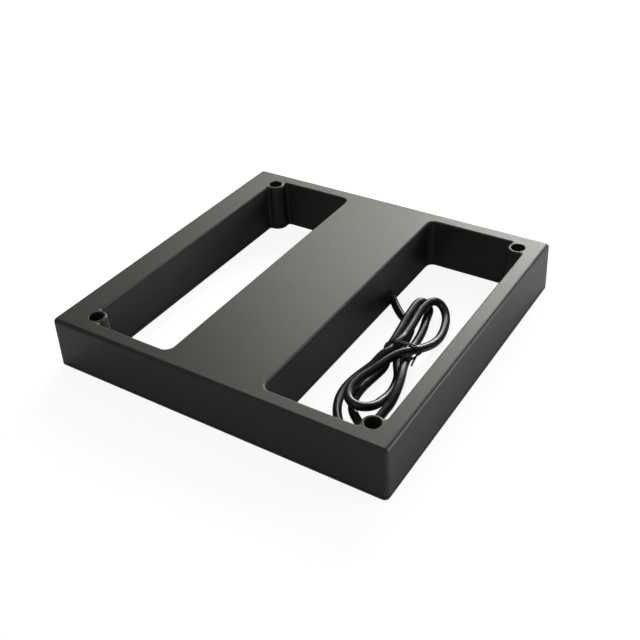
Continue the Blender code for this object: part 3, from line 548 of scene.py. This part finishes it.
def window_outline(window, inset):
    """A window's outline, moved in by an inset, counter-clockwise from above."""
    edge, bridge = window
    facing = 1 if bridge > edge else -1
    width = abs(bridge - edge)
    boss_u = min(abs(x - edge) for x in MOUNT_X)
    front = [(u, v - WINDOW_HALF_Y) for u, v in boss_corner(boss_u, inset)]
    radius = BRIDGE_CORNER - inset
    centre_u = width - inset - radius
    centre_v = WINDOW_HALF_Y - inset - radius
    front += arc((centre_u, -centre_v), radius, -math.pi / 2, 0, CORNER_STEPS)
    back = [(u, -v) for u, v in reversed(front)]
    outline = [(edge + facing * u, v) for u, v in front + back]
    return outline if facing > 0 else outline[::-1]


def mount_places():
    return [(x, y) for x in MOUNT_X for y in (-MOUNT_Y, MOUNT_Y)]


# -------------------------------------------------------------------- housing

def housing_block():
    """The outside of the moulding: drafted walls and a full round at the top edge."""
    rings = [at_height(outer_outline(FOOT_EASE, SHELL_BASE), SHELL_BASE)]
    rings.append(at_height(outer_outline(0, SHELL_BASE + FOOT_EASE), SHELL_BASE + FOOT_EASE))
    round_base = HEIGHT - TOP_RADIUS
    for step in range(TOP_STEPS + 1):
        angle = math.radians(90 * step / TOP_STEPS)
        z = round_base + TOP_RADIUS * math.sin(angle)
        rings.append(at_height(outer_outline(TOP_RADIUS * (1 - math.cos(angle)), z), z))
    return loft(rings)


def window_hole(window):
    """The void of a window: drafted walls that flare into a rounded rim at the top."""
    rings = [at_height(window_outline(window, draft_at(-PAST)), -PAST)]
    rim_base = HEIGHT - RIM_RADIUS
    for step in range(RIM_STEPS + 1):
        angle = math.radians(90 * step / RIM_STEPS)
        z = rim_base + RIM_RADIUS * math.sin(angle)
        inset = draft_at(rim_base) * (1 - step / RIM_STEPS) - RIM_RADIUS * (1 - math.cos(angle))
        rings.append(at_height(window_outline(window, inset), z))
    rings.append(at_height(window_outline(window, -RIM_RADIUS), HEIGHT + PAST))
    return loft(rings)


def window_core(window):
    """A window with its walls around it, which the hollow leaves standing."""
    low = at_height(window_outline(window, draft_at(0) - WALL), -2 * PAST)
    high = at_height(window_outline(window, -WALL), HEIGHT)
    return loft([low, high])


def hollow():
    """The space inside the housing, around the windows, columns and screw pillars."""
    low = at_height(outer_outline(WALL, 0), -PAST)
    high = at_height(outer_outline(WALL, HEIGHT), HEIGHT - ROOF)
    radius = BOSS_RADIUS + DRAFT / 2
    column = [(radius, -2 * PAST), (radius, HEIGHT)]
    columns = [moved(turned(column), x, y) for x, y in mount_places()]
    pillar = [(PILLAR_RADIUS + PILLAR_TAPER, -2 * PAST), (PILLAR_RADIUS, HEIGHT)]
    pillars = [moved(turned(pillar, segments=24), x, y) for x, y in COVER_SCREWS]
    cores = [window_core(LEFT_WINDOW), window_core(RIGHT_WINDOW)]
    return carved_mesh(loft([low, high]), [join(meshes) for meshes in (columns, pillars, cores)])


def mount_hole():
    """A bore with a wide counterbore for the screw head, its mouth eased by a small round."""
    profile = [
        (MOUNT_BORE, -PAST), (MOUNT_BORE, COUNTERBORE_FLOOR), (MOUNT_COUNTERBORE, COUNTERBORE_FLOOR),
    ]
    for step in range(MOUTH_STEPS + 1):
        angle = math.radians(90 * step / MOUTH_STEPS)
        radius = MOUNT_COUNTERBORE + MOUTH_EASE * (1 - math.cos(angle))
        profile.append((radius, HEIGHT - MOUTH_EASE + MOUTH_EASE * math.sin(angle)))
    profile.append((MOUNT_COUNTERBORE + MOUTH_EASE, HEIGHT + PAST))
    return turned(profile)


def pilot_hole():
    return turned([(PILOT_RADIUS, -PAST), (PILOT_RADIUS, PILOT_TOP)], segments=20)


def outlet_notch():
    """The round-topped notch in the bridge's wall that holds the cable grommet."""
    over = arc((OUTLET_Y, OUTLET_Z), NOTCH_RADIUS, 0, math.pi, steps=20)
    outline = over + [(OUTLET_Y - NOTCH_RADIUS, 0), (OUTLET_Y + NOTCH_RADIUS, 0)]
    return loft([[(x, y, z) for y, z in outline] for x in NOTCH_X])


def make_housing(looks):
    holes = [moved(mount_hole(), x, y) for x, y in mount_places()]
    holes += [moved(pilot_hole(), x, y) for x, y in COVER_SCREWS]
    windows = join([window_hole(LEFT_WINDOW), window_hole(RIGHT_WINDOW)])
    cutters = (windows, hollow(), join(holes), outlet_notch())
    shell_mesh = smooth(carved_mesh(housing_block(), cutters))
    shell = add_object("housing_shell", shell_mesh, looks["housing_plastic"])
    weigh_normals(shell)
    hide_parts("upper_housing")
    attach(shell, "housing")


# ---------------------------------------------------------------------- cable

def spline(points, steps=SPLINE_STEPS):
    """A smooth path through points, with a number of steps between neighbours."""
    points = np.asarray(points, float)
    ends = np.vstack([2 * points[0] - points[1], points, 2 * points[-1] - points[-2]])
    path = []
    for i in range(1, len(ends) - 2):
        a, b, c, d = ends[i - 1:i + 3]
        for step in range(steps):
            t = step / steps
            path.append(0.5 * (2 * b + (c - a) * t + (2 * a - 5 * b + 4 * c - d) * t ** 2
                               + (3 * b - a - 3 * c + d) * t ** 3))
    path.append(points[-1])
    return np.array(path)


def even_steps(path, step):
    """The same path with points at even distances."""
    lengths = np.linalg.norm(np.diff(path, axis=0), axis=1)
    travel = np.concatenate([[0.0], np.cumsum(lengths)])
    count = int(round(travel[-1] / step)) + 1
    marks = np.linspace(0, travel[-1], count)
    return np.column_stack([np.interp(marks, travel, path[:, k]) for k in range(3)])


def settle(path):
    """Ease touching strands apart and smooth the bends, above the floor."""
    room = 2 * CABLE_RADIUS + STRAND_GAP
    index = np.arange(len(path))
    apart = np.abs(index[:, None] - index[None, :]) * ROUTE_STEP > 3 * CABLE_RADIUS
    home = path.copy()
    for turn in range(SETTLE_ROUNDS):
        offset = path[:, None, :] - path[None, :, :]
        distance = np.linalg.norm(offset, axis=2) + 1e-9
        push = np.where(apart & (distance < room), (room - distance) / distance, 0.0)
        path = path + PUSH * (push[:, :, None] * offset).sum(axis=1)
        if turn < EASED_SHARE * SETTLE_ROUNDS:
            eased = 0.5 * (path[:-2] + path[2:])
            path[1:-1] += EASE * (eased - path[1:-1])
            path += HOME_PULL * (home - path)
        over_tie = TIE_LIFT * np.exp(-((path[:, 1] - TIE_Y) / TIE_LIFT_SPREAD) ** 2)
        path[:, 2] = np.maximum(path[:, 2], CABLE_RADIUS + CABLE_GAP + over_tie)
        path[:2] = home[:2]
    return path


def loose_cable():
    return settle(even_steps(spline(CABLE_ROUTE), ROUTE_STEP))


def make_cable(looks):
    inside = [(x, OUTLET_Y, OUTLET_Z) for x in CABLE_INSIDE_X]
    path = even_steps(spline(np.vstack([inside, loose_cable()])), CABLE_STEP)
    mesh = smooth(sweep(path, CABLE_RADIUS, CABLE_SIDES), TUBE_ANGLE)
    cable = add_object("reader_cable", mesh, looks["cable_jacket"])
    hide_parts("cable_root", "cable_coil")
    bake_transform(cable)


# ------------------------------------------------------------------------ tie

def tie_line(strands):
    """Turns of tie wire drawn around the bundle, side by side, clear of the strands."""
    reach = CABLE_RADIUS + TIE_CLEAR + TIE_WIRE
    path = []
    for i in range(TIE_TURNS * TIE_STEPS + 1):
        turns = i / TIE_STEPS
        angle = 2 * math.pi * turns + TIE_START
        facing = np.array([math.cos(angle), math.sin(angle)])
        y = TIE_Y + TIE_PITCH * (turns - TIE_TURNS / 2)
        near = strands[np.abs(strands[:, 1] - y) < TIE_SLICE]
        support = near[np.argmax(near[:, [0, 2]] @ facing)]
        x, z = support[[0, 2]] + reach * facing
        path.append((x, y, z))
    path = even_steps(np.array(path), TIE_SPACING)
    for _ in range(TIE_ROUNDS):
        path[1:-1] += TIE_SMOOTH * (path[:-2] - 2 * path[1:-1] + path[2:])
        offset = path[:, None, :] - strands[None, :, :]
        distance = np.linalg.norm(offset, axis=2)
        nearest = distance.argmin(axis=1)
        rows = np.arange(len(path))
        short = np.maximum(reach - distance[rows, nearest], 0) / distance[rows, nearest]
        path += short[:, None] * offset[rows, nearest] * (1, 0, 1)
    path[:, 2] = np.maximum(path[:, 2], TIE_WIRE + TIE_FLOOR_GAP)
    return path


def twisted_pair(path, spread, pitch):
    """Two paths that wind around a path as a twisted pair."""
    path = even_steps(path, TAIL_STEP)
    tangents = np.gradient(path, axis=0)
    tangents /= np.linalg.norm(tangents, axis=1)[:, None]
    side = np.cross(tangents[0], (0.0, 1.0, 0.0))
    pair = ([], [])
    for i, (point, tangent) in enumerate(zip(path, tangents)):
        side = side - np.dot(side, tangent) * tangent
        side /= np.linalg.norm(side)
        up = np.cross(side, tangent)
        angle = 2 * math.pi * i * TAIL_STEP / pitch
        reach = spread * (math.cos(angle) * side + math.sin(angle) * up)
        pair[0].append(point + reach)
        pair[1].append(point - reach)
    return [np.array(strand) for strand in pair]


def make_tie(looks):
    strands = even_steps(loose_cable(), STRAND_STEP)
    strands = strands[np.abs(strands[:, 1] - TIE_Y) < TIE_REACH]
    meshes = [sweep(tie_line(strands), TIE_WIRE, TIE_SIDES)]
    for path in twisted_pair(spline(TIE_TAIL), TAIL_WIRE, TAIL_TWIST):
        meshes.append(sweep(path, TAIL_WIRE, TAIL_SIDES))
    tie = add_object("twisted_tie", smooth(join(meshes), TUBE_ANGLE), looks["tie_coat"])
    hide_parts("wire_tie")
    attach(tie, "cable")


# ------------------------------------------------------------ kept CAD pieces

def dress_frame(looks):
    """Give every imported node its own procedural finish, by the record's slot."""
    for entry in frame["record"]["subparts"]:
        node = frame["nodes"][entry["node"]]
        node.data.materials.clear()
        node.data.materials.append(looks[entry["material_slot"]])


# -------------------------------------------------------------- light, camera

def make_floor():
    """A pale floor that stays near white for the camera and keeps only faint shadows."""
    corners = [(-1, -1), (1, -1), (1, 1), (-1, 1)]
    mesh = mesh_from([(0, 1, 2, 3)], [(FLOOR_REACH * x, FLOOR_REACH * y, 0) for x, y in corners])
    made = Nodes("pale_floor")
    cloud = made.noise(3.0, 2.0)
    lit = made.add("ShaderNodeBsdfDiffuse", Color=(0.83, 0.87, 0.93, 1))
    seen = made.add("ShaderNodeBsdfDiffuse")
    made.link(made.colours(cloud, (0.25, 0.25, 0.25), (0.27, 0.27, 0.27)), seen.inputs["Color"])
    glow = made.add("ShaderNodeEmission", Strength=FLOOR_GLOW)
    bright = made.add("ShaderNodeAddShader")
    made.link(seen.outputs["BSDF"], bright.inputs[0])
    made.link(glow.outputs["Emission"], bright.inputs[1])
    choose = made.add("ShaderNodeMixShader")
    made.link(made.add("ShaderNodeLightPath").outputs["Is Camera Ray"], choose.inputs["Fac"])
    made.link(lit.outputs["BSDF"], choose.inputs[1])
    made.link(bright.outputs["Shader"], choose.inputs[2])
    made.link(choose.outputs["Shader"], made.tree.nodes["Material Output"].inputs["Surface"])
    floor = add_object("floor", mesh, made.material)
    floor.location.z = -FLOOR_DROP * MM


def area_light(name, azimuth, elevation, distance, size, power, colour):
    """A softbox that faces the object; azimuth 0 is behind it and 90 to its right."""
    light = bpy.data.lights.new(name, "AREA")
    light.shape = "RECTANGLE"
    light.size, light.size_y = size
    light.energy = power
    light.color = colour
    around = math.radians(azimuth)
    above = math.radians(elevation)
    flat = math.cos(above)
    place = distance * Vector((math.sin(around) * flat, math.cos(around) * flat, math.sin(above)))
    item = bpy.data.objects.new(name, light)
    item.location = place
    item.rotation_euler = (Vector(LIGHT_AIM) - place).to_track_quat("-Z", "Y").to_euler()
    item.visible_camera = False
    bpy.context.scene.collection.objects.link(item)


def make_world():
    """A white surround for the camera that lights the object only gently."""
    world = bpy.data.worlds.new("studio")
    world.use_nodes = True
    tree = world.node_tree
    background = tree.nodes["Background"]
    background.inputs["Color"].default_value = (0.99, 0.99, 1, 1)
    path = tree.nodes.new("ShaderNodeLightPath")
    strength = tree.nodes.new("ShaderNodeMapRange")
    strength.inputs["To Min"].default_value = WORLD_LIGHT
    strength.inputs["To Max"].default_value = WORLD_SEEN
    tree.links.new(path.outputs["Is Camera Ray"], strength.inputs["Value"])
    tree.links.new(strength.outputs["Result"], background.inputs["Strength"])
    bpy.context.scene.world = world


def make_light():
    """The surround, four softboxes around the back and sides, and a weak fill from the front."""
    make_world()
    softboxes = [
        # name, azimuth and elevation in degrees, power in watts, colour
        ("back_softbox", -5, 20, 21.0, (1.0, 1.0, 0.985)),
        ("back_left_softbox", -25, 34, 9.3, (1.0, 0.98, 0.86)),
        ("left_strip", -50, 20, 1.3, (1.0, 0.97, 0.85)),
        ("right_strip", 60, 8, 13.0, (1.0, 1.0, 1.0)),
    ]
    for name, azimuth, elevation, power, colour in softboxes:
        area_light(name, azimuth, elevation, SOFTBOX_DISTANCE, SOFTBOX_SIZE, power, colour)
    area_light("front_fill", 180, 45, FILL_DISTANCE, FILL_SIZE, 3.0, (0.9, 0.95, 1.0))


def make_camera():
    """A camera that looks at a point in front of the middle, with a slight roll."""
    azimuth = math.radians(CAMERA_AZIMUTH)
    elevation = math.radians(CAMERA_ELEVATION)
    roll = math.radians(CAMERA_ROLL)
    flat = math.cos(elevation)
    back = Vector((math.sin(azimuth) * flat, -math.cos(azimuth) * flat, math.sin(elevation)))
    right = Vector((math.cos(azimuth), math.sin(azimuth), 0))
    up = back.cross(right)
    across = right * math.cos(roll) + up * math.sin(roll)
    above = up * math.cos(roll) - right * math.sin(roll)
    camera = bpy.data.objects.new("camera", bpy.data.cameras.new("camera"))
    camera.data.lens = CAMERA_LENS
    camera.data.clip_start = CAMERA_CLIP
    turn = Matrix((across, above, back)).transposed()
    camera.matrix_world = Matrix.Translation(Vector(CAMERA_TARGET) + back * CAMERA_DISTANCE) @ turn.to_4x4()
    bpy.context.scene.collection.objects.link(camera)
    bpy.context.scene.camera = camera
    bpy.context.scene.view_settings.view_transform = "Standard"


looks = make_looks()
dress_frame(looks)
make_housing(looks)
make_cable(looks)
make_tie(looks)
make_floor()
make_light()
make_camera()
